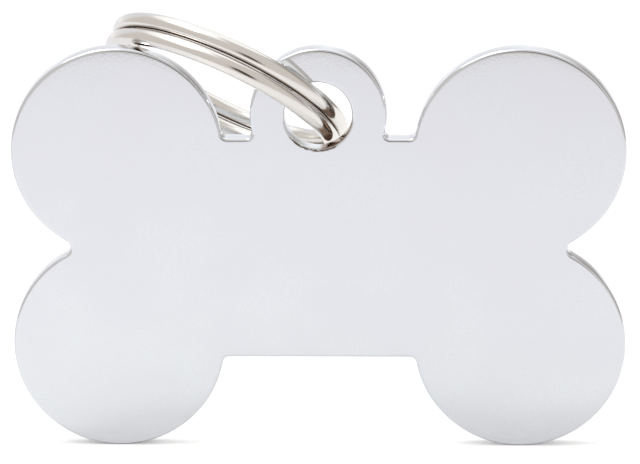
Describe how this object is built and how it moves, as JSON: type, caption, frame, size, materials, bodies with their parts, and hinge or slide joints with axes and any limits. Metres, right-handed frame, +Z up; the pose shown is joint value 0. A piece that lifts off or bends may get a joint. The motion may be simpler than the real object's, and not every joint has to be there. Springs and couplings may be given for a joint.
{
  "type": "pet id tag",
  "caption": "Bone-shaped polished metal pet identity tag with a top lug, hung on a split ring that swings in the lug's hole.",
  "frame": {"origin": "on the ground that the two lower lobes stand on, under the middle of the whole object's box; the ring's centre is at y = 0", "axes": "+X along the bone, to the right seen from the front; -Y out of the plate's front face; +Z up"},
  "size_m": [0.038, 0.0148, 0.0274],
  "materials": {
    "polished_plate": "polished",
    "ring_wire": "polished nickel"
  },
  "bodies": {
    "plate": {"tag_plate": "polished_plate"},
    "ring": {"split_ring": "ring_wire"}
  },
  "joints": [
    {"name": "ring_swing", "type": "hinge", "parent": "plate", "child": "ring", "pos_m": [0, -0.00425, 0.02117], "axis": [0, 1, 0], "range_deg": [0, 122]}
  ]
}
